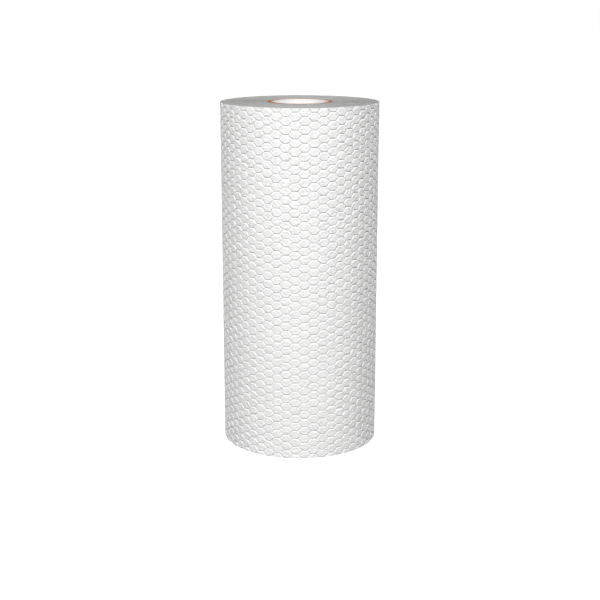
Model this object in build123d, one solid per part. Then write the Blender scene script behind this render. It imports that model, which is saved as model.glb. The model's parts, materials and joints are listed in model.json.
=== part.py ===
from build123d import *
import os
from math import cos, radians, sin, tau

# A roll of reusable cleaning cloths: one long embossed nonwoven web wound tightly on a board core.
# Millimetres, +Z up along the core. The roll stands on its lower end, with its origin at the middle of
# that end. The free edge of the web lies at the back, towards +Y.

# The web and the roll
CLOTH_WIDTH = 230.0            # width of the web, which is the height of the standing roll
ROLL_DIAMETER = 105.5          # over the embossed pads at the free edge
WEB_THICKNESS = 0.7            # of the embossed web, and so the step at its free edge
FREE_EDGE_DIRECTION = 90.0     # degrees from +X, seen from above

# The board core
CORE_BORE = 38.0
CORE_WALL = 2.4

# The honeycomb emboss: columns of six-sided pads, each column half a pad higher than the last
PAD_PITCH_AROUND = 7.5         # from column to column
PAD_PITCH_UP = 6.75            # from pad to pad within a column
EMBOSS_DEPTH = 0.35            # from the groove round a pad to its middle

# The spiral line on each end, where the wound turns part a little
TURN_LINE_SPACING = 5.0        # from one turn of the line to the next
TURN_LINE_WIDTH = 0.6
TURN_LINE_DEPTH = 0.5
TURN_LINE_STEPS = 30           # straight pieces in one turn of the line

# Worked out from the sizes above
ROLL_RADIUS = ROLL_DIAMETER / 2
CORE_DIAMETER = CORE_BORE + 2 * CORE_WALL
COLUMNS = 2 * round(ROLL_DIAMETER * tau / 4 / PAD_PITCH_AROUND)
ROWS = round(CLOTH_WIDTH / PAD_PITCH_UP)

# Corners of a pad, in pitches from its middle, with the middles of its level sides
PAD_CORNERS = [(2 / 3, 0), (1 / 3, 1 / 2), (-1 / 3, 1 / 2), (-2 / 3, 0), (-1 / 3, -1 / 2), (1 / 3, -1 / 2)]
SPLIT_PAD_CORNERS = PAD_CORNERS[:2] + [(0, 1 / 2)] + PAD_CORNERS[2:5] + [(0, -1 / 2)] + PAD_CORNERS[5:]


def polar_point(radius, turn, height):
    """A point at a radius, a share of a turn from the free edge, and a height."""
    angle = radians(FREE_EDGE_DIRECTION) + tau * turn
    return (radius * cos(angle), radius * sin(angle), height)


def web_point(column, row, sink):
    """A point of the outermost turn, which runs in by one web thickness, sunk below its pads."""
    turn = column / COLUMNS
    radius = ROLL_RADIUS - WEB_THICKNESS * turn - sink
    return polar_point(radius, turn, CLOTH_WIDTH * row / ROWS)


def pad_point(column, row):
    return web_point(column, row, 0)


def groove_point(column, row):
    return web_point(column, row, EMBOSS_DEPTH)


def flat_face(points):
    return Face(Wire.make_polygon(points, close=True))


def on_web(corner):
    column, row = corner
    return 0 <= column <= COLUMNS and 0 <= row <= ROWS


def pad_facets(column, middle_row):
    """The facets of one pad, from the groove round it up to its middle, as far as the web reaches."""
    cut_by_free_edge = column in (0, COLUMNS)
    corners = SPLIT_PAD_CORNERS if cut_by_free_edge else PAD_CORNERS
    rim = [(column + along, middle_row + up) for along, up in corners]
    sides = zip(rim, rim[1:] + rim[:1])
    middle = pad_point(column, middle_row)
    return [
        flat_face([middle, groove_point(*start), groove_point(*end)])
        for start, end in sides
        if on_web(start) and on_web(end)
    ]


def embossed_side():
    """The outermost turn of the web, all the way from its free edge round to beneath that edge."""
    facets = []
    for column in range(COLUMNS + 1):
        stagger = column % 2
        for row in range(ROWS + stagger):
            facets += pad_facets(column, row + (1 - stagger) / 2)
    return facets


def free_edge():
    """The cut edge of the web, a step one web thickness deep."""
    rise = [groove_point(0, 0)]
    under = [groove_point(COLUMNS, 0)]
    for row in range(ROWS):
        rise += [pad_point(0, row + 1 / 2), groove_point(0, row + 1)]
        under += [pad_point(COLUMNS, row + 1 / 2), groove_point(COLUMNS, row + 1)]
    return flat_face(rise + under[::-1])


def end_outline(row):
    """The edge of one end of the roll, through whole and halved pads."""
    points = [groove_point(0, row)]
    for column in range(0, COLUMNS, 2):
        points += [
            groove_point(column + 1 / 3, row),
            pad_point(column + 1, row),
            groove_point(column + 5 / 3, row),
        ]
    return points + [groove_point(COLUMNS, row)]


def turn_line(height, inward):
    """Both lips and the bottom of the spiral line, which starts and ends in a point."""
    outermost = ROLL_RADIUS - EMBOSS_DEPTH - WEB_THICKNESS - TURN_LINE_SPACING
    innermost = CORE_DIAMETER / 2 + TURN_LINE_SPACING / 2
    turns = (outermost - innermost) / TURN_LINE_SPACING
    steps = max(2, round(turns * TURN_LINE_STEPS))
    outer_lip, bottom, inner_lip = [], [], []
    for step in range(steps + 1):
        turn = turns * step / steps
        radius = outermost - TURN_LINE_SPACING * turn
        opened = 0 if step in (0, steps) else 1
        half_width = opened * TURN_LINE_WIDTH / 2
        outer_lip.append(polar_point(radius + half_width, turn, height))
        bottom.append(polar_point(radius, turn, height + inward * opened * TURN_LINE_DEPTH))
        inner_lip.append(polar_point(radius - half_width, turn, height))
    return outer_lip, bottom, inner_lip


def line_wall(lip, bottom):
    """The facets between one lip of the spiral line and its bottom."""
    facets = [flat_face([lip[0], lip[1], bottom[1]])]
    for step in range(1, len(lip) - 2):
        facets.append(flat_face([lip[step], lip[step + 1], bottom[step + 1]]))
        facets.append(flat_face([lip[step], bottom[step + 1], bottom[step]]))
    facets.append(flat_face([lip[-2], lip[-1], bottom[-2]]))
    return facets


def roll_end(row, inward):
    """One flat end of the roll, with the spiral line of the wound turns in it."""
    height = CLOTH_WIDTH * row / ROWS
    outer_lip, bottom, inner_lip = turn_line(height, inward)
    core_hole = Wire.make_circle(CORE_DIAMETER / 2, Plane.XY.offset(height))
    line_hole = Wire.make_polygon(outer_lip + inner_lip[-2:0:-1], close=True)
    land = Face(Wire.make_polygon(end_outline(row), close=True), [core_hole, line_hole])
    return [land] + line_wall(outer_lip, bottom) + line_wall(inner_lip, bottom)


def core_hole_wall():
    """The innermost turn, round the core."""
    rim = Edge.make_circle(CORE_DIAMETER / 2)
    return [Face.extrude(rim, (0, 0, CLOTH_WIDTH))]


def cloth_roll():
    """All the turns of the web, as one solid."""
    faces = embossed_side() + [free_edge()] + roll_end(0, 1) + roll_end(ROWS, -1) + core_hole_wall()
    return Solid(Shell(faces))


def core_tube():
    """The board tube that the web is wound on, cut flush with it."""
    section = Circle(CORE_DIAMETER / 2) - Circle(CORE_BORE / 2)
    return extrude(section, CLOTH_WIDTH)


os.makedirs("parts", exist_ok=True)
export_step(cloth_roll(), "parts/cloth_roll.step", write_pcurves=False)
export_step(core_tube(), "parts/core_tube.step")
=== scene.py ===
"""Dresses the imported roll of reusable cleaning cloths: its embossed web, its board core and its studio."""
import json
from math import asin, cos, pi, radians, sin, sqrt, tau

import bmesh
import bpy
from bpy.props import FloatProperty, FloatVectorProperty, IntProperty, PointerProperty
from bpy.types import NodeSocket, Operator, Panel, PropertyGroup
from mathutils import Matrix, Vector


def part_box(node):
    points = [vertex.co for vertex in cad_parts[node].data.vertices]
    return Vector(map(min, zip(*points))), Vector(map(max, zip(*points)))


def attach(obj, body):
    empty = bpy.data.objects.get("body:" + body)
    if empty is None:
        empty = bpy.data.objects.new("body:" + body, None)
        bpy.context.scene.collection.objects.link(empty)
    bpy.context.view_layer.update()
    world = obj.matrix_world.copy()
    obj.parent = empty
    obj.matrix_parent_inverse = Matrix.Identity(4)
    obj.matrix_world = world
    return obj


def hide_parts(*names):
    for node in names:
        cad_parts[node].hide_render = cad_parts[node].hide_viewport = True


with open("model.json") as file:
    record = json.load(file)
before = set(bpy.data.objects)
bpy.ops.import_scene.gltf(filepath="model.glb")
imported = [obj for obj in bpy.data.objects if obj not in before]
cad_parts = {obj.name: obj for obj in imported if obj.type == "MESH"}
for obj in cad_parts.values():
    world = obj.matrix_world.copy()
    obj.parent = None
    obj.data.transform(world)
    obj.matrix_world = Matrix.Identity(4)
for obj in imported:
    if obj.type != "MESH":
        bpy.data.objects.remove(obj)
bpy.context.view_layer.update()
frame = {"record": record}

bl_info = {
    "name": "Cleaning Cloth Roll",
    "version": (1, 0, 0),
    "blender": (4, 5, 0),
    "location": "3D View > Sidebar > Cloth Roll",
    "description": "Dresses a packed roll of reusable cleaning cloths with its embossed web and board core",
    "category": "Object",
}

# Small lengths, in metres
MILLIMETRE = 0.001
HAIR = 1e-6                        # less than this counts as nothing
NEAR_EDGE = 5 * HAIR               # how far a point of the flat web's edge may lie from that edge
WELD_DISTANCE = 10 * HAIR          # points closer than this are merged
SEAM_SLACK = 0.05 * MILLIMETRE     # how far a bevel may move the middle of the core's seam

# The body and the sizes that the frame gives, in metres
BODY = "root"
MOUNTS = {mount["name"]: mount for mount in frame["record"]["mounts"]}
ROLL_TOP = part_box("cloth_roll")[1]
CORE_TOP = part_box("core_tube")[1]
CLOTH_WIDTH = ROLL_TOP[2]
ROLL_RADIUS = ROLL_TOP[1]
CORE_RADIUS = CORE_TOP[0]
BORE_RADIUS = MOUNTS["core_bore"]["dims"]["r_mm"] * MILLIMETRE
CORE_WALL = CORE_RADIUS - BORE_RADIUS

# How a pad rises from the groove round it to its middle, in shares of the emboss depth
GROOVE_SIDE_RISE = 0.66
SHOULDER_RISE = 0.28
TOP_RISE = 0.06
TOP_ROUNDING = 0.03                # how far a pad's top goes from six-sided towards round
SPARE_PADS = 2                     # rows, and pairs of columns, that are trimmed off the flat web again

# How the soft pattern strays: axis, name, size of the clouds that move it, and reach over the drift
PATTERN_STRAYS = (
    ("X", "pattern_drift_along", 28 * MILLIMETRE, 1.0),
    ("Y", "pattern_drift_up", 34 * MILLIMETRE, 0.7),
    ("X", "pad_shape_along", 5.5 * MILLIMETRE, 0.2),
    ("Y", "pad_shape_up", 6.5 * MILLIMETRE, 0.2),
)
PAD_CLOUDS = 12 * MILLIMETRE       # size of the clouds that make the pads uneven
PAD_UNEVENNESS = 0.08              # how far they rise and sink, over the emboss depth

# The cut edges of the web and the faces of the core
EDGE_CLOUDS = 60 * MILLIMETRE      # size of the clouds that make the edges of the turns wander
LOWER_WANDER = 0.2                 # wander of the edges that the roll stands on, over that of the upper ones
EDGE_BAND = 2.2                    # height of the band at each end that holds the cut edges, over the wander
LEVEL_NORMAL = 0.8                 # a face whose normal rises or falls by more than this lies level
LINER_REACH = 0.1                  # how deep a face of the inner ply may lie, over the depth of the seam

# Faces that meet at less than these angles are shaded as one smooth surface
CLOTH_SMOOTHING = radians(26)
CORE_SMOOTHING = radians(40)

# The fibres of cloth and paper
FIBRE_DIRECTIONS = (radians(12), radians(71), radians(-44))
FIBRE_STRETCH = 7                  # length of a fibre over its width
FIBRE_HEIGHT = 0.4                 # height of the fibres over that of the tufts that they lie on

# Values of the materials, a shade being a share of the material's own colour
THIN_CLOTH_SHADE = 0.93            # where the cloth has fewer fibres
DARK_LINE_SHADE = 0.45             # along glue lines, and on stretches of the cut edges
GROOVE_SHADE_POWER = 2.5            # keeps the painted shade, and the pressed cloth's greyer colour, to the deep part of a groove
GLUE_LINE = (0.05, 0.22)           # from its middle, where a glue line begins and ends to fade, in plies
WHITE = (1, 1, 1)

# The floor, the horizon and the camera, with lengths in metres where nothing else is said
FLOOR_SIZE = 12
FLOOR_HEIGHT = 0.2 * MILLIMETRE    # above the roll's lower end, so that light from below reaches that end
FLOOR_COLOUR = (0.3, 0.3, 0.3)
FLOOR_FADE = (0.15, 0.7)           # from the roll's axis to where the floor begins to whiten, and is white
HORIZON = 0.02                     # half the band of directions in which the even light changes
SENSOR_WIDTH = 36                  # of the camera, in millimetres

# The soft lights: degrees turned from the front, degrees above level, distance and size in metres
FRONT_LIGHT = {"turn": -4, "rise": 43, "distance": 2.8, "size": 0.6}
LEFT_LIGHT = {"turn": -150, "rise": 5, "distance": 2.0, "size": 0.8}
RIGHT_LIGHT = {"turn": 146, "rise": 5, "distance": 2.0, "size": 0.8}
LEFT_LIGHT_SHARE = 0.8             # brightness of the left light over that of the right one


class WebSettings(PropertyGroup):
    """Sizes and colours of the embossed web."""

    columns: IntProperty(
        name="Columns", description="Columns of pads round the outermost turn", default=54, min=8)
    rows: IntProperty(
        name="Rows", description="Rows of pads up the web", default=42, min=4)
    level_side: FloatProperty(
        name="Level side", description="Length of a pad's level side over the column pitch",
        default=0.6, min=0.4, max=0.9, subtype="FACTOR")
    emboss_depth: FloatProperty(
        name="Emboss depth", description="From a pad's middle down to the groove round it",
        default=0.72 * MILLIMETRE, unit="LENGTH", precision=5)
    groove_side: FloatProperty(
        name="Groove side", description="Width of the steep side of a groove",
        default=0.4 * MILLIMETRE, unit="LENGTH", precision=5)
    shoulder: FloatProperty(
        name="Shoulder", description="Width of the shoulder between a groove's side and the pad's top",
        default=0.26 * MILLIMETRE, unit="LENGTH", precision=5)
    slant_rise: FloatProperty(
        name="Slant rise", description="How far the slanting grooves rise midway, over the emboss depth",
        default=0.45, min=0, max=0.9, subtype="FACTOR")
    thickness: FloatProperty(
        name="Thickness", description="Thickness of the loose web in the outermost turn",
        default=0.84 * MILLIMETRE, unit="LENGTH", precision=5)
    wound_thickness: FloatProperty(
        name="Wound thickness", description="Thickness of the web in the turns beneath, which are pressed",
        default=0.6 * MILLIMETRE, unit="LENGTH", precision=5)
    gap: FloatProperty(
        name="Gap", description="Least gap between two turns",
        default=0.08 * MILLIMETRE, unit="LENGTH", precision=5)
    drift: FloatProperty(
        name="Drift", description="How far the embossed pattern strays along the web",
        default=0.5 * MILLIMETRE, unit="LENGTH", precision=5)
    tail_lift: FloatProperty(
        name="Tail lift", description="How far the free end of the web stands off the turn beneath it",
        default=0.9 * MILLIMETRE, unit="LENGTH", precision=5)
    tail_reach: FloatProperty(
        name="Tail reach", description="Length of the web over which its free end lifts",
        default=16 * MILLIMETRE, unit="LENGTH", precision=5)
    edge_wander: FloatProperty(
        name="Edge wander", description="How far the edges of the turns stray from level",
        default=0.03 * MILLIMETRE, unit="LENGTH", precision=5)
    steps_a_turn: IntProperty(
        name="Steps a turn", description="Straight pieces in one inner turn", default=96, min=24)
    colour: FloatVectorProperty(
        name="Cloth", description="Colour of the cloth",
        default=(0.92, 0.92, 0.915), subtype="COLOR", min=0, max=1)
    # Painted shade in the grooves, with some real greying of the pressed cloth there
    groove_shade_colour: FloatVectorProperty(
        name="Groove shade, painted and pressed", description="Painted shade and pressed cloth colour along the grooves",
        default=(0.69, 0.69, 0.682), subtype="COLOR", min=0, max=1)
    # A grey that is partly painted shade, darkening the roll's ends, and partly the dimness of fibre ends
    edge_shade_colour: FloatVectorProperty(
        name="Cut edge, painted shade", description="Colour of the web's cut edges, greyed by painted shade and by fibre ends",
        default=(0.39, 0.39, 0.385), subtype="COLOR", min=0, max=1)


class CoreSettings(PropertyGroup):
    """Sizes and colours of the board core."""

    plies: IntProperty(
        name="Plies", description="Plies of board in the wall", default=6, min=2)
    ply_groove: FloatProperty(
        name="Ply groove", description="Depth of the fine line between two plies on a cut end",
        default=0.2 * MILLIMETRE, unit="LENGTH", precision=5)
    steps_round: IntProperty(
        name="Steps round", description="Faces round the core", default=96, min=24)
    steps_up: IntProperty(
        name="Steps up", description="Faces up the core", default=100, min=8, max=100)
    seam_turns: FloatProperty(
        name="Seam turns", description="Turns that the seam of the inner ply makes up the core", default=2.45)
    seam_width: FloatProperty(
        name="Seam width", description="Width of the seam of the inner ply",
        default=0.8 * MILLIMETRE, unit="LENGTH", precision=5)
    seam_depth: FloatProperty(
        name="Seam depth", description="Depth of the seam of the inner ply",
        default=0.45 * MILLIMETRE, unit="LENGTH", precision=5)
    board: FloatVectorProperty(
        name="Board", description="Colour of the cut board",
        default=(0.48, 0.17, 0.04), subtype="COLOR", min=0, max=1)
    liner: FloatVectorProperty(
        name="Liner", description="Colour of the inner ply",
        default=(0.93, 0.925, 0.915), subtype="COLOR", min=0, max=1)


class StudioSettings(PropertyGroup):
    """Light, floor and camera."""

    front_brightness: FloatProperty(
        name="Front light", description="How bright this light alone makes a white surface that faces it",
        default=1.155)
    rear_brightness: FloatProperty(
        name="Rear lights", description="The same for the right light behind the roll; the left is weaker",
        default=0.68)
    sky: FloatProperty(
        name="Sky", description="Strength of the even light above the floor", default=0.1)
    underlight: FloatProperty(
        name="Underlight", description="Strength of the even light below the floor, for the roll's lower end",
        default=0.6)
    floor_lift: FloatProperty(
        name="Floor lift", description="White that the floor adds to what the camera sees beside the roll",
        default=0.88)
    camera_distance: FloatProperty(
        name="Camera distance", description="From the roll's axis to the camera",
        default=0.7965, unit="LENGTH")
    camera_height: FloatProperty(
        name="Camera height", description="From the roll's lower end up to the camera",
        default=0.295, unit="LENGTH")
    camera_pitch: FloatProperty(
        name="Camera pitch", description="How far the camera looks down",
        default=radians(14.08), subtype="ANGLE")
    lens: FloatProperty(
        name="Lens", description="Focal length of the camera, in millimetres", default=71.92)


def deselect_all():
    """Leaves edit mode and deselects every object."""
    if bpy.context.object and bpy.context.object.mode != "OBJECT":
        bpy.ops.object.mode_set(mode="OBJECT")
    bpy.ops.object.select_all(action="DESELECT")


def make_active(*objects):
    """Selects these objects alone, the first of them active."""
    deselect_all()
    for obj in objects:
        obj.select_set(True)
    bpy.context.view_layer.objects.active = objects[0]


def edit(obj, mode="VERT"):
    """Opens one object in edit mode with nothing selected."""
    make_active(obj)
    bpy.ops.object.mode_set(mode="EDIT")
    bpy.ops.mesh.select_mode(type=mode)
    bpy.ops.mesh.select_all(action="DESELECT")


def select_where(obj, test, kind="verts"):
    """Selects the vertices, edges or faces of the open mesh that a test keeps."""
    mesh = bmesh.from_edit_mesh(obj.data)
    for item in getattr(mesh, kind):
        item.select_set(bool(test(item)))
    mesh.select_flush_mode()
    bmesh.update_edit_mesh(obj.data)


def edge_is_level(edge):
    """True for an edge whose ends lie at one height."""
    return abs(edge.verts[0].co.z - edge.verts[1].co.z) < HAIR


def face_is_level(face):
    """True for a face that looks up or down."""
    return abs(face.normal.z) > LEVEL_NORMAL


def apply_modifier(obj, kind, **values):
    """Adds a modifier with these values and applies it."""
    make_active(obj)
    modifier = obj.modifiers.new(kind.title(), kind)
    for name, value in values.items():
        setattr(modifier, name, value)
    bpy.ops.object.modifier_apply(modifier=modifier.name)


def apply_transform(obj, **channels):
    """Sets location, rotation_euler or scale on an object and puts it into its mesh."""
    make_active(obj)
    for name, value in channels.items():
        setattr(obj, name, value)
    bpy.ops.object.transform_apply(location=True, rotation=True, scale=True)


def repeat(obj, count, offset):
    """Sets out a mesh this many times, each time moved on by an offset."""
    apply_modifier(
        obj, "ARRAY", count=count, use_relative_offset=False, use_constant_offset=True,
        constant_offset_displace=offset)


def stray(obj, axis, name, cloud_size, reach):
    """Moves a mesh along an axis by soft clouds of about this size, at most by reach each way."""
    clouds = bpy.data.textures.new(name, "CLOUDS")
    clouds.noise_scale = cloud_size
    clouds.noise_depth = 1
    apply_modifier(
        obj, "DISPLACE", texture=clouds, texture_coords="LOCAL", direction=axis, strength=2 * reach,
        mid_level=0.5)


def model_pad(web, pitch_along, pitch_up):
    """One embossed pad lying flat, its middle at z = 0 and the groove round it below."""
    deselect_all()
    bpy.ops.mesh.primitive_circle_add(vertices=6, radius=1, fill_type="NGON", calc_uvs=False)
    pad = bpy.context.object
    # Turned so that two of its six sides run along the web
    apply_transform(pad, rotation_euler=(0, 0, radians(30)))
    apply_transform(pad, scale=(web.level_side * pitch_along, pitch_up / sqrt(3), 1))
    apply_transform(pad, location=(0, 0, -web.emboss_depth))

    edit(pad)
    select_where(pad, lambda vertex: abs(vertex.co.y) < HAIR)
    side_corner = (1 - web.level_side / 2) / web.level_side
    bpy.ops.transform.resize(value=(side_corner, 1, 1), center_override=(0, 0, 0))
    bpy.ops.mesh.select_all(action="SELECT")
    bpy.ops.mesh.subdivide(number_cuts=1)

    bpy.ops.mesh.select_mode(type="FACE")
    bpy.ops.mesh.select_all(action="SELECT")
    for width, rise in ((web.groove_side, GROOVE_SIDE_RISE), (web.shoulder, SHOULDER_RISE)):
        bpy.ops.mesh.inset(thickness=width, depth=rise * web.emboss_depth, use_even_offset=True)
    bpy.ops.transform.tosphere(value=TOP_ROUNDING)
    bpy.ops.mesh.poke(offset=TOP_RISE * web.emboss_depth)

    def midway_on_slant(vertex):
        in_groove = vertex.co.z < HAIR - web.emboss_depth
        return in_groove and abs(abs(vertex.co.y) - pitch_up / 4) < HAIR

    bpy.ops.mesh.select_mode(type="VERT")
    select_where(pad, midway_on_slant)
    bpy.ops.transform.translate(value=(0, 0, web.slant_rise * web.emboss_depth))
    bpy.ops.object.mode_set(mode="OBJECT")
    return pad


def model_embossed_turn(web, turn_length):
    """The outermost turn of the web, flat and closed, with its pads upwards and its free edge at x = 0."""
    pitch_along = turn_length / web.columns
    pitch_up = CLOTH_WIDTH / web.rows
    turn = model_pad(web, pitch_along, pitch_up)
    repeat(turn, 2, (pitch_along, pitch_up / 2, 0))
    repeat(turn, web.columns // 2 + SPARE_PADS, (2 * pitch_along, 0, 0))
    repeat(turn, web.rows + SPARE_PADS, (0, pitch_up, 0))
    edit(turn)
    bpy.ops.mesh.select_all(action="SELECT")
    bpy.ops.mesh.remove_doubles(threshold=WELD_DISTANCE)
    bpy.ops.object.mode_set(mode="OBJECT")
    # The pads overhang the web on every side until it is trimmed
    overhang = Vector((1.5 * pitch_along, pitch_up, 0))
    apply_transform(turn, location=-overhang)

    for axis, name, cloud_size, share in PATTERN_STRAYS:
        stray(turn, axis, name, cloud_size, share * web.drift)
    stray(turn, "Z", "pad_unevenness", PAD_CLOUDS, PAD_UNEVENNESS * web.emboss_depth)
    trim_flat(turn, turn_length)
    close_back(turn, web.thickness)
    return turn


def trim_flat(turn, turn_length):
    """Cuts the flat embossed sheet straight along its four sides."""
    edit(turn)
    cuts = (
        ((0, 0, 0), (-1, 0, 0)),
        ((turn_length, 0, 0), (1, 0, 0)),
        ((0, 0, 0), (0, -1, 0)),
        ((0, CLOTH_WIDTH, 0), (0, 1, 0)),
    )
    for place, outwards in cuts:
        bpy.ops.mesh.select_all(action="SELECT")
        bpy.ops.mesh.bisect(plane_co=place, plane_no=outwards, clear_outer=True, threshold=HAIR)
    bpy.ops.object.mode_set(mode="OBJECT")


def on_long_edge(edge):
    """True for an edge along the top or the bottom of the flat sheet."""
    heights = [vertex.co.y for vertex in edge.verts]
    return edge.is_boundary and (max(heights) < NEAR_EDGE or min(heights) > CLOTH_WIDTH - NEAR_EDGE)


def close_back(turn, thickness):
    """Gives the embossed sheet its cut edges and its plain back."""
    edit(turn, "EDGE")
    select_where(turn, on_long_edge, "edges")
    bpy.ops.mesh.extrude_edges_move()
    bpy.ops.transform.resize(value=(1, 1, 0), center_override=(0, 0, -thickness))
    bpy.ops.mesh.bridge_edge_loops()
    bpy.ops.mesh.select_all(action="DESELECT")
    bpy.ops.mesh.select_non_manifold(
        extend=False, use_wire=False, use_multi_face=False, use_non_contiguous=False, use_verts=False)
    bpy.ops.mesh.fill_holes(sides=0)
    bpy.ops.mesh.select_all(action="SELECT")
    bpy.ops.mesh.normals_make_consistent(inside=False)
    bpy.ops.object.mode_set(mode="OBJECT")


def lift_tail(turn, web):
    """Lets the free end of the web stand a little off the turn beneath it."""
    edit(turn)
    select_where(turn, lambda vertex: vertex.co.x < NEAR_EDGE)
    bpy.ops.transform.translate(
        value=(0, 0, web.tail_lift), use_proportional_edit=True, proportional_edit_falloff="SMOOTH",
        proportional_size=web.tail_reach)
    bpy.ops.object.mode_set(mode="OBJECT")


def model_inner_turns(web, turn_length, turns):
    """All the turns beneath the outermost one, as one flat strip whose lower edge is nearly level."""
    strip_length = turn_length * (turns - 1)
    strip_width = CLOTH_WIDTH - 2 * web.edge_wander
    top_face = web.wound_thickness - web.thickness
    deselect_all()
    bpy.ops.mesh.primitive_grid_add(
        x_subdivisions=web.steps_a_turn * (turns - 1), y_subdivisions=1, size=1, calc_uvs=False)
    strip = bpy.context.object
    apply_transform(strip, scale=(strip_length, strip_width, 1))
    apply_transform(strip, location=(turn_length + strip_length / 2, CLOTH_WIDTH / 2, top_face))
    apply_modifier(strip, "SOLIDIFY", thickness=web.wound_thickness, offset=-1)
    stray(strip, "Y", "edge_wander", EDGE_CLOUDS, web.edge_wander)
    edit(strip)
    select_where(strip, lambda vertex: vertex.co.y < CLOTH_WIDTH / 2)
    bpy.ops.transform.resize(value=(1, LOWER_WANDER, 1), center_override=(0, 0, 0))
    bpy.ops.object.mode_set(mode="OBJECT")
    return strip


def note_groove_depths(turn, emboss_depth):
    """Keeps how deep each point lies, from 0 on top of a pad to 1 in a groove and on the back."""
    mesh = turn.data
    depths = [min(1, max(0, -vertex.co.z / emboss_depth)) for vertex in mesh.vertices]
    mesh.attributes.new("groove", "FLOAT", "POINT").data.foreach_set("value", depths)


def note_flat_places(obj):
    """Keeps each point's place on the flat cloth, in metres, as a UV map."""
    mesh = obj.data
    places = mesh.uv_layers.new(name="flat_cloth")
    for loop in mesh.loops:
        places.data[loop.index].uv = mesh.vertices[loop.vertex_index].co.xy


def wind_up(web_piece, turns, turn_pitch, turn_length):
    """Winds the flat web into a roll round the Z axis, with its free edge at the back."""
    apply_transform(web_piece, rotation_euler=(pi / 2, 0, 0))
    apply_transform(web_piece, rotation_euler=(0, 0, asin(turn_pitch / turn_length)))
    apply_modifier(web_piece, "SIMPLE_DEFORM", deform_method="BEND", deform_axis="Z", angle=tau * turns)
    apply_transform(web_piece, location=(0, -ROLL_RADIUS, 0))
    apply_transform(web_piece, rotation_euler=(0, 0, pi))


def paint_web(web_piece, web):
    """Gives the web's cut edges at both ends of the roll a material of their own, greyed with painted shade.
    """
    def on_cut_edge(face):
        height = face.calc_center_median().z
        from_end = min(height, CLOTH_WIDTH - height)
        return face_is_level(face) and from_end < EDGE_BAND * web.edge_wander

    give_materials(web_piece, cloth_material(web), cut_edge_material(web), on_cut_edge)


def model_core(core):
    """A tube turned from its wall's section, with fine lines between its plies and a helical inner seam."""
    deselect_all()
    bpy.ops.mesh.primitive_plane_add(size=1)
    tube = bpy.context.object
    apply_transform(tube, scale=(CORE_WALL, CLOTH_WIDTH, 1))
    apply_transform(tube, rotation_euler=(pi / 2, 0, 0))
    apply_transform(tube, location=(BORE_RADIUS + CORE_WALL / 2, 0, CLOTH_WIDTH / 2))

    edit(tube, "EDGE")
    bpy.ops.mesh.select_all(action="SELECT")
    bpy.ops.mesh.delete(type="ONLY_FACE")
    select_where(tube, edge_is_level, "edges")
    bpy.ops.mesh.subdivide(number_cuts=2 * core.plies - 1)
    select_where(tube, lambda edge: not edge_is_level(edge), "edges")
    bpy.ops.mesh.subdivide(number_cuts=core.steps_up - 1)
    sink_ply_lines(tube, core)
    bpy.ops.mesh.select_all(action="SELECT")
    bpy.ops.mesh.spin(steps=core.steps_round, angle=tau, center=(0, 0, 0), axis=(0, 0, 1))
    bpy.ops.mesh.select_all(action="SELECT")
    bpy.ops.mesh.remove_doubles(threshold=WELD_DISTANCE)
    bpy.ops.mesh.normals_make_consistent(inside=False)
    open_seam(tube, core)
    bpy.ops.object.mode_set(mode="OBJECT")
    apply_modifier(
        tube, "SIMPLE_DEFORM", deform_method="TWIST", deform_axis="Z", angle=tau * core.seam_turns)
    return tube


def sink_ply_lines(tube, core):
    """Sinks a fine line between each two plies into both cut ends of the wall's section."""
    ply = CORE_WALL / core.plies

    def between_plies(vertex):
        depth = vertex.co.x - BORE_RADIUS
        line = round(depth / ply)
        return 0 < line < core.plies and abs(depth - line * ply) < HAIR

    for end, inwards in ((0, 1), (CLOTH_WIDTH, -1)):
        select_where(tube, lambda vertex: abs(vertex.co.z - end) < HAIR and between_plies(vertex))
        bpy.ops.transform.translate(value=(0, 0, inwards * core.ply_groove))


def open_seam(tube, core):
    """Opens the seam of the inner ply as a fine groove, straight up the bore until the tube is twisted."""
    def on_bore_line(vertex):
        return abs(vertex.co.y) < HAIR and abs(vertex.co.x - BORE_RADIUS) < SEAM_SLACK

    def between_ends(vertex):
        return HAIR < vertex.co.z < CLOTH_WIDTH - HAIR

    bpy.ops.mesh.select_mode(type="EDGE")
    select_where(tube, lambda edge: all(on_bore_line(vertex) for vertex in edge.verts), "edges")
    bpy.ops.mesh.bevel(offset=core.seam_width / 2, segments=2, affect="EDGES")
    bpy.ops.mesh.select_mode(type="VERT")
    select_where(tube, lambda vertex: on_bore_line(vertex) and between_ends(vertex))
    bpy.ops.transform.translate(value=(core.seam_depth, 0, 0))


def paint_core(tube, core):
    """Gives the inner ply its white liner, and all the rest, also in the seam, the brown board."""
    def on_inner_ply(face):
        from_axis = face.calc_center_median().xy.length
        return not face_is_level(face) and from_axis < BORE_RADIUS + LINER_REACH * core.seam_depth

    give_materials(tube, board_material(core), liner_material(core), on_inner_ply)


def give_materials(piece, first, second, test):
    """Gives the faces that a test keeps the second material, and all others the first."""
    piece.data.materials.clear()
    piece.data.materials.append(first)
    piece.data.materials.append(second)
    edit(piece, "FACE")
    select_where(piece, test, "faces")
    piece.active_material_index = 1
    bpy.ops.object.material_slot_assign()
    bpy.ops.object.mode_set(mode="OBJECT")


def new_material(name):
    """A material with its node tree, which is empty but for the output, and the output's surface."""
    material = bpy.data.materials.new(name)
    material.use_nodes = True
    tree = material.node_tree
    tree.nodes.clear()
    output = tree.nodes.new("ShaderNodeOutputMaterial")
    return material, tree, output.inputs["Surface"]


def feed(tree, value, socket):
    """Links an input to another node's output, or sets it to a plain value."""
    if isinstance(value, NodeSocket):
        tree.links.new(value, socket)
    else:
        socket.default_value = value


def add_node(tree, kind, label, **inputs):
    """Adds a node with a label and feeds its named inputs."""
    node = tree.nodes.new(kind)
    node.label = label
    for name, value in inputs.items():
        feed(tree, value, node.inputs[name.replace("_", " ")])
    return node


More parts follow.
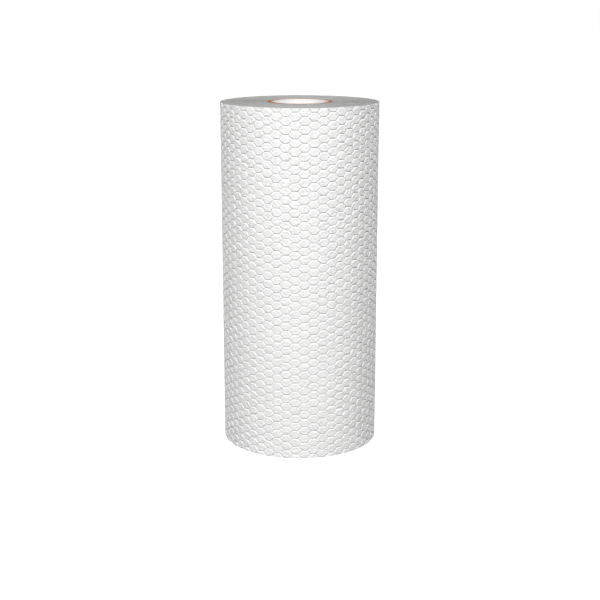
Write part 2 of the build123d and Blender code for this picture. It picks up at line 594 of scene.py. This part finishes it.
def add_math(tree, operation, label, *values):
    """Adds a Math node, feeds its inputs in order and gives its result."""
    node = add_node(tree, "ShaderNodeMath", label)
    node.operation = operation
    for value, socket in zip(values, node.inputs):
        feed(tree, value, socket)
    return node.outputs["Value"]


def map_range(tree, label, **inputs):
    """Adds a Map Range node, feeds its named inputs and gives its result."""
    return add_node(tree, "ShaderNodeMapRange", label, **inputs).outputs["Result"]


def mix_colours(tree, label, factor, low, high):
    """A colour between two, by a factor."""
    mix = add_node(tree, "ShaderNodeMix", label)
    mix.data_type = "RGBA"
    # Sockets for other kinds of data have the same names, so those for colours are taken by place
    for value, place in ((factor, 0), (low, 6), (high, 7)):
        feed(tree, value, mix.inputs[place])
    return mix.outputs[2]


def shaded(colour, share=1):
    """An opaque colour, darkened to a share of itself."""
    return (*(share * channel for channel in colour), 1)


def object_place(tree):
    """A socket that gives Object coordinates."""
    return tree.nodes.new("ShaderNodeTexCoord").outputs["Object"]


def flat_place(tree):
    """A socket that gives the place on the flat cloth, in metres."""
    place = tree.nodes.new("ShaderNodeUVMap")
    place.uv_map = "flat_cloth"
    return place.outputs["UV"]


def distance_from_axis(tree):
    """A socket that gives the distance from the roll's axis, in metres."""
    across = add_node(tree, "ShaderNodeVectorMath", "Across the axis")
    across.operation = "MULTIPLY"
    feed(tree, object_place(tree), across.inputs[0])
    feed(tree, (1, 1, 0), across.inputs[1])
    distance = add_node(tree, "ShaderNodeVectorMath", "From the axis", Vector=across.outputs["Vector"])
    distance.operation = "LENGTH"
    return distance.outputs["Value"]


def lay_fibres(tree, place, scale, direction):
    """A socket that gives the height of fibres that lie in one direction."""
    lie = add_node(
        tree, "ShaderNodeMapping", "Direction of fibres", Vector=place, Rotation=(0, 0, direction),
        Scale=(FIBRE_STRETCH, 1, 1))
    lie.vector_type = "TEXTURE"
    strands = add_node(
        tree, "ShaderNodeTexNoise", "Fibres", Vector=lie.outputs["Vector"], Scale=scale, Detail=2.0,
        Roughness=0.6, Distortion=0.6)
    strands.noise_type = "RIDGED_MULTIFRACTAL"
    return strands.outputs["Fac"]


def fibre_group():
    """What cloth and paper share: loose crossing fibres on soft tufts, as a height, and cloudy patches."""
    group = bpy.data.node_groups.get("Loose Fibres")
    if group:
        return group
    group = bpy.data.node_groups.new("Loose Fibres", "ShaderNodeTree")
    group.interface.new_socket("Vector", in_out="INPUT", socket_type="NodeSocketVector")
    for name in ("Fibre Scale", "Tuft Scale", "Patch Scale"):
        group.interface.new_socket(name, in_out="INPUT", socket_type="NodeSocketFloat")
    for name in ("Height", "Patches"):
        group.interface.new_socket(name, in_out="OUTPUT", socket_type="NodeSocketFloat")
    source = group.nodes.new("NodeGroupInput").outputs
    sink = group.nodes.new("NodeGroupOutput").inputs

    place = source["Vector"]
    layers = [lay_fibres(group, place, source["Fibre Scale"], direction) for direction in FIBRE_DIRECTIONS]
    highest = layers[0]
    for layer in layers[1:]:
        highest = add_math(group, "MAXIMUM", "Upper fibres", highest, layer)
    tufts = add_node(
        group, "ShaderNodeTexNoise", "Tufts", Vector=place, Scale=source["Tuft Scale"], Detail=1.5,
        Roughness=0.6)
    patches = add_node(
        group, "ShaderNodeTexNoise", "Patches", Vector=place, Scale=source["Patch Scale"], Detail=2.0,
        Roughness=0.55)
    height = add_math(group, "MULTIPLY_ADD", "Fibres on tufts", highest, FIBRE_HEIGHT, tufts.outputs["Fac"])
    feed(group, height, sink["Height"])
    feed(group, patches.outputs["Fac"], sink["Patches"])
    return group


def place_fibres(tree, place, fibre_scale, tuft_scale, patch_scale):
    """Puts the fibre group into a material, on the coordinates of a socket, and gives its outputs."""
    fibres = tree.nodes.new("ShaderNodeGroup")
    fibres.node_tree = fibre_group()
    feed(tree, place, fibres.inputs["Vector"])
    feed(tree, fibre_scale, fibres.inputs["Fibre Scale"])
    feed(tree, tuft_scale, fibres.inputs["Tuft Scale"])
    feed(tree, patch_scale, fibres.inputs["Patch Scale"])
    return fibres.outputs


def cloth_material(web):
    """Soft white nonwoven: cloudy fibres, a fine fibrous bump, and grooves greyed partly by pressed cloth and
    partly by painted shade.
    """
    material, tree, surface = new_material("white_nonwoven")
    fibres = place_fibres(tree, flat_place(tree), fibre_scale=2600, tuft_scale=560, patch_scale=420)
    groove = add_node(tree, "ShaderNodeAttribute", "Depth in a groove")
    groove.attribute_name = "groove"
    # Painted shade: the cloth darkens towards the bottom of each groove, partly also for the pressed cloth
    # there
    pressed = add_math(
        tree, "POWER", "Deep part of the groove", groove.outputs["Fac"], GROOVE_SHADE_POWER)
    cloudy = mix_colours(
        tree, "Cloudy cloth", fibres["Patches"], shaded(web.colour, THIN_CLOTH_SHADE), shaded(web.colour))
    colour = mix_colours(tree, "Painted and pressed groove shade", pressed, cloudy, shaded(web.groove_shade_colour))
    bump = add_node(
        tree, "ShaderNodeBump", "Fibre bump", Height=fibres["Height"], Strength=1.0,
        Distance=0.7 * MILLIMETRE)
    nonwoven = add_node(
        tree, "ShaderNodeBsdfPrincipled", "Nonwoven", Base_Color=colour, Normal=bump.outputs["Normal"],
        Roughness=0.92, Specular_IOR_Level=0.2, Sheen_Weight=0.12, Sheen_Roughness=0.5)
    feed(tree, nonwoven.outputs["BSDF"], surface)
    return material


def paper_material(name, colour, patch_shade, grain, lines=None):
    """Paper or board: short fibres in its colour and in a fine bump, and darker lines if a mask is given."""
    material, tree, surface = new_material(name)
    fibres = place_fibres(tree, object_place(tree), fibre_scale=3000, tuft_scale=1200, patch_scale=400)
    mottled = mix_colours(
        tree, "Mottled paper", fibres["Patches"], shaded(colour, patch_shade), shaded(colour))
    if lines:
        mottled = mix_colours(
            tree, "Darker lines", lines(tree), mottled, shaded(colour, DARK_LINE_SHADE))
    bump = add_node(
        tree, "ShaderNodeBump", "Paper grain", Height=fibres["Height"], Strength=grain,
        Distance=0.1 * MILLIMETRE)
    paper = add_node(
        tree, "ShaderNodeBsdfPrincipled", "Paper", Base_Color=mottled, Normal=bump.outputs["Normal"],
        Roughness=0.88, Specular_IOR_Level=0.25)
    feed(tree, paper.outputs["BSDF"], surface)
    return material


def cut_edge_material(web):
    """The web's cut edge, grey partly from painted shade on the roll's ends, and darker along some stretches
    of it, so that neighbouring turns tell apart.
    """
    def shaded_stretches(tree):
        stretches = add_node(
            tree, "ShaderNodeTexNoise", "Stretches of the edge", Vector=flat_place(tree), Scale=11.0,
            Detail=2.0)
        return map_range(
            tree, "Shaded stretches", Value=stretches.outputs["Fac"], From_Min=0.35, From_Max=0.65,
            To_Max=0.8)

    return paper_material(
        "cut_cloth_edge", web.edge_shade_colour, patch_shade=0.9, grain=0.8, lines=shaded_stretches)


def board_material(core):
    """Brown board, with a darker glue line between each two plies."""
    ply = CORE_WALL / core.plies
    fade_start, fade_end = GLUE_LINE

    def glue_lines(tree):
        depth = add_math(tree, "SUBTRACT", "From the bore", distance_from_axis(tree), BORE_RADIUS)
        from_line = add_math(tree, "PINGPONG", "From the nearest line", depth, ply / 2)
        return map_range(
            tree, "Glue line", Value=from_line, From_Min=fade_start * ply, From_Max=fade_end * ply,
            To_Min=1.0, To_Max=0.0)

    return paper_material("brown_board", core.board, patch_shade=0.72, grain=0.6, lines=glue_lines)


def liner_material(core):
    """The white paper of the inner ply."""
    return paper_material("white_liner", core.liner, patch_shade=0.88, grain=0.6)


def camera_ray_share(tree):
    """1 for what the camera sees, also in gloss and through glass, and 0 for light that falls on things."""
    path = tree.nodes.new("ShaderNodeLightPath")
    seen = path.outputs["Is Camera Ray"]
    for name in ("Is Glossy Ray", "Is Transmission Ray"):
        seen = add_math(tree, "MAXIMUM", "Seen by the camera", seen, path.outputs[name])
    return seen


def floor_material(studio):
    """Pale floor, white to the camera outside the roll's shadow, clear from below and beneath the bore."""
    material, tree, surface = new_material("pale_floor")
    distance = distance_from_axis(tree)
    fade_start, fade_end = FLOOR_FADE
    fade = map_range(
        tree, "Whiter away from the roll", Value=distance, From_Min=fade_start, From_Max=fade_end,
        To_Min=studio.floor_lift, To_Max=1.0)
    strength = add_math(tree, "MULTIPLY", "Lift for the camera", camera_ray_share(tree), fade)
    matte = add_node(tree, "ShaderNodeBsdfDiffuse", "Matte floor", Color=shaded(FLOOR_COLOUR))
    lift = add_node(tree, "ShaderNodeEmission", "White lift", Strength=strength)
    lit = tree.nodes.new("ShaderNodeAddShader")
    feed(tree, matte.outputs["BSDF"], lit.inputs[0])
    feed(tree, lift.outputs["Emission"], lit.inputs[1])

    side = tree.nodes.new("ShaderNodeNewGeometry")
    beneath_bore = add_math(tree, "LESS_THAN", "Beneath the core's bore", distance, BORE_RADIUS)
    cleared = add_math(tree, "MAXIMUM", "Clear parts", side.outputs["Backfacing"], beneath_bore)
    clear = tree.nodes.new("ShaderNodeBsdfTransparent")
    floor = add_node(tree, "ShaderNodeMixShader", "Lit or clear", Fac=cleared)
    feed(tree, lit.outputs["Shader"], floor.inputs[1])
    feed(tree, clear.outputs["BSDF"], floor.inputs[2])
    feed(tree, floor.outputs["Shader"], surface)
    return material


def light_world(studio):
    """Even light above and below the floor, and white where the camera sees past it."""
    world = bpy.data.worlds.new("studio_surround")
    world.use_nodes = True
    tree = world.node_tree
    background = tree.nodes["Background"]
    direction = tree.nodes.new("ShaderNodeTexCoord").outputs["Generated"]
    upwards = add_node(tree, "ShaderNodeSeparateXYZ", "Height of the direction", Vector=direction)
    even = map_range(
        tree, "Above or below the floor", Value=upwards.outputs["Z"], From_Min=-HORIZON, From_Max=HORIZON,
        To_Min=studio.underlight, To_Max=studio.sky)
    strength = map_range(
        tree, "White for the camera", Value=camera_ray_share(tree), To_Min=even, To_Max=1.0)
    feed(tree, shaded(WHITE), background.inputs["Color"])
    feed(tree, strength, background.inputs["Strength"])
    bpy.context.scene.world = world


def add_softbox(name, brightness, turn, rise, distance, size):
    """A square light that looks at the roll's middle and makes white that faces it there this bright."""
    turned, raised = radians(turn), radians(rise)
    middle = Vector((0, 0, CLOTH_WIDTH / 2))
    away = Vector((sin(turned) * cos(raised), -cos(turned) * cos(raised), sin(raised)))
    lamp = bpy.data.lights.new(name, "AREA")
    lamp.shape = "SQUARE"
    lamp.size = size
    lamp.energy = brightness * (pi * distance) ** 2
    holder = bpy.data.objects.new(name, lamp)
    bpy.context.collection.objects.link(holder)
    holder.location = middle + distance * away
    holder.rotation_euler = away.to_track_quat("Z", "Y").to_euler()


class ROLL_OT_wind_web(Operator):
    """Model the embossed web flat and wind it on the core"""

    bl_idname = "cloth_roll.wind_web"
    bl_label = "Wind Web"

    def execute(self, context):
        web = context.scene.cloth_roll_web
        turn_length = tau * ROLL_RADIUS
        room = ROLL_RADIUS - CORE_RADIUS - web.thickness
        turns = int(room / (web.wound_thickness + web.gap))
        turn_pitch = room / turns

        piece = model_embossed_turn(web, turn_length)
        note_groove_depths(piece, web.emboss_depth)
        note_flat_places(piece)
        lift_tail(piece, web)
        strip = model_inner_turns(web, turn_length, turns)
        note_flat_places(strip)
        make_active(piece, strip)
        bpy.ops.object.join()
        wind_up(piece, turns, turn_pitch, turn_length)
        piece.name = piece.data.name = "wound_web"
        make_active(piece)
        bpy.ops.object.shade_smooth_by_angle(angle=CLOTH_SMOOTHING)
        paint_web(piece, web)

        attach(piece, BODY)
        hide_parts("cloth_roll")
        return {"FINISHED"}


class ROLL_OT_make_core(Operator):
    """Model the spiral-wound board core"""

    bl_idname = "cloth_roll.make_core"
    bl_label = "Make Core"

    def execute(self, context):
        core = context.scene.cloth_roll_core
        piece = model_core(core)
        paint_core(piece, core)
        piece.name = piece.data.name = "board_core"
        make_active(piece)
        bpy.ops.object.shade_smooth_by_angle(angle=CORE_SMOOTHING)
        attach(piece, BODY)
        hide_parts("core_tube")
        return {"FINISHED"}


class ROLL_OT_set_stage(Operator):
    """Set up the floor, the lights and the camera"""

    bl_idname = "cloth_roll.set_stage"
    bl_label = "Set Stage"

    def execute(self, context):
        studio = context.scene.cloth_roll_studio
        deselect_all()
        bpy.ops.mesh.primitive_plane_add(size=FLOOR_SIZE, location=(0, 0, FLOOR_HEIGHT))
        floor = bpy.context.object
        floor.name = floor.data.name = "floor"
        floor.data.materials.append(floor_material(studio))

        light_world(studio)
        add_softbox("front_light", studio.front_brightness, **FRONT_LIGHT)
        add_softbox("left_light", LEFT_LIGHT_SHARE * studio.rear_brightness, **LEFT_LIGHT)
        add_softbox("right_light", studio.rear_brightness, **RIGHT_LIGHT)

        bpy.ops.object.camera_add(
            location=(0, -studio.camera_distance, studio.camera_height),
            rotation=(pi / 2 - studio.camera_pitch, 0, 0))
        camera = bpy.context.object
        camera.data.sensor_width = SENSOR_WIDTH
        camera.data.lens = studio.lens
        context.scene.camera = camera
        context.scene.view_settings.view_transform = "Standard"
        return {"FINISHED"}


class ROLL_PT_sidebar(Panel):
    """Buttons and sizes of the cloth roll"""

    bl_idname = "ROLL_PT_sidebar"
    bl_label = "Cloth Roll"
    bl_space_type = "VIEW_3D"
    bl_region_type = "UI"
    bl_category = "Cloth Roll"

    def draw(self, context):
        scene = context.scene
        sections = (
            (scene.cloth_roll_web, ROLL_OT_wind_web),
            (scene.cloth_roll_core, ROLL_OT_make_core),
            (scene.cloth_roll_studio, ROLL_OT_set_stage),
        )
        for settings, operator in sections:
            box = self.layout.box()
            box.operator(operator.bl_idname)
            for name in settings.__annotations__:
                box.prop(settings, name)


SETTINGS = {
    "cloth_roll_web": WebSettings,
    "cloth_roll_core": CoreSettings,
    "cloth_roll_studio": StudioSettings,
}
CLASSES = (*SETTINGS.values(), ROLL_OT_wind_web, ROLL_OT_make_core, ROLL_OT_set_stage, ROLL_PT_sidebar)


def register():
    for item in CLASSES:
        bpy.utils.register_class(item)
    for name, settings in SETTINGS.items():
        setattr(bpy.types.Scene, name, PointerProperty(type=settings))


def unregister():
    for name in SETTINGS:
        delattr(bpy.types.Scene, name)
    for item in reversed(CLASSES):
        bpy.utils.unregister_class(item)


def main():
    register()
    bpy.ops.cloth_roll.wind_web()
    bpy.ops.cloth_roll.make_core()
    bpy.ops.cloth_roll.set_stage()


if __name__ == "__main__":
    main()
